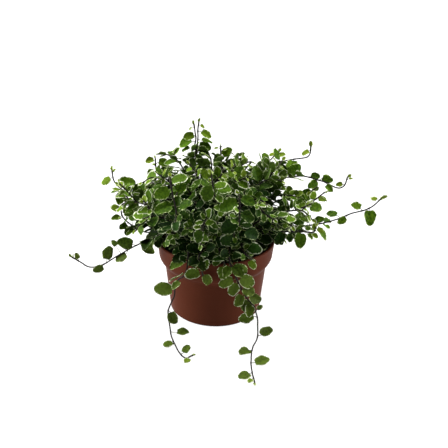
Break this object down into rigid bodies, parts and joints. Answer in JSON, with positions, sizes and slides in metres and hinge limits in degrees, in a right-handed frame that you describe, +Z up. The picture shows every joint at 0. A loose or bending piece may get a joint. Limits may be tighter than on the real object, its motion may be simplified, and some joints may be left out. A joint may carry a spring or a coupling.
{
  "type": "potted creeping fig",
  "caption": "Variegated creeping fig with a dense dome of small white-edged leaves and long trailing shoots, growing in a round terracotta-brown nursery pot.",
  "frame": {"origin": "centre of the pot's flat underside, where it stands", "axes": "+Z up, -Y towards the front, where two shoots trail down over the rim, +X to the right"},
  "size_m": [0.306, 0.2243, 0.188],
  "materials": {
    "pot_plastic": "thin injection-moulded terracotta-brown plastic, satin matte, slightly darker at the foot",
    "potting_soil": "moist near-black peat with crumbs, bark fibres and a few pale grey granules",
    "fig_foliage": "thin green leaves with irregular cream margins, satin above and paler beneath, on dark brown wiry stems"
  },
  "bodies": {
    "root": {"arching_shoot_right": "fig_foliage", "crown_shoot_01": "fig_foliage", "crown_shoot_02": "fig_foliage", "crown_shoot_03": "fig_foliage", "crown_shoot_04": "fig_foliage", "crown_shoot_05": "fig_foliage", "dome_shoot_high": "fig_foliage", "dome_shoot_left": "fig_foliage", "dome_shoot_low": "fig_foliage", "dome_shoot_right": "fig_foliage", "front_shoot_left": "fig_foliage", "front_shoot_middle": "fig_foliage", "front_shoot_right": "fig_foliage", "long_shoot_left": "fig_foliage", "long_shoot_right": "fig_foliage", "low_shoot_left": "fig_foliage", "low_shoot_right": "fig_foliage", "lower_shoot_01": "fig_foliage", "lower_shoot_02": "fig_foliage", "lower_shoot_03": "fig_foliage", "lower_shoot_04": "fig_foliage", "lower_shoot_05": "fig_foliage", "lower_shoot_06": "fig_foliage", "lower_shoot_07": "fig_foliage", "lower_shoot_08": "fig_foliage", "lower_shoot_09": "fig_foliage", "lower_shoot_10": "fig_foliage", "lower_shoot_11": "fig_foliage", "middle_shoot_right": "fig_foliage", "pot": "pot_plastic", "rear_shoot_left": "fig_foliage", "rear_shoot_right": "fig_foliage", "skirt_shoot_01": "fig_foliage", "skirt_shoot_02": "fig_foliage", "skirt_shoot_03": "fig_foliage", "skirt_shoot_04": "fig_foliage", "skirt_shoot_05": "fig_foliage", "skirt_shoot_06": "fig_foliage", "skirt_shoot_07": "fig_foliage", "skirt_shoot_08": "fig_foliage", "skirt_shoot_09": "fig_foliage", "skirt_shoot_10": "fig_foliage", "skirt_shoot_11": "fig_foliage", "skirt_shoot_12": "fig_foliage", "soil": "potting_soil", "tall_shoot_left": "fig_foliage", "tall_shoot_right": "fig_foliage", "top_shoot": "fig_foliage", "trailing_shoot_left": "fig_foliage", "trailing_shoot_right": "fig_foliage", "upper_shoot_01": "fig_foliage", "upper_shoot_02": "fig_foliage", "upper_shoot_03": "fig_foliage", "upper_shoot_04": "fig_foliage", "upper_shoot_05": "fig_foliage", "upper_shoot_06": "fig_foliage", "upper_shoot_07": "fig_foliage", "upper_shoot_08": "fig_foliage", "upper_shoot_left": "fig_foliage", "upper_shoot_right": "fig_foliage"}
  },
  "joints": []
}
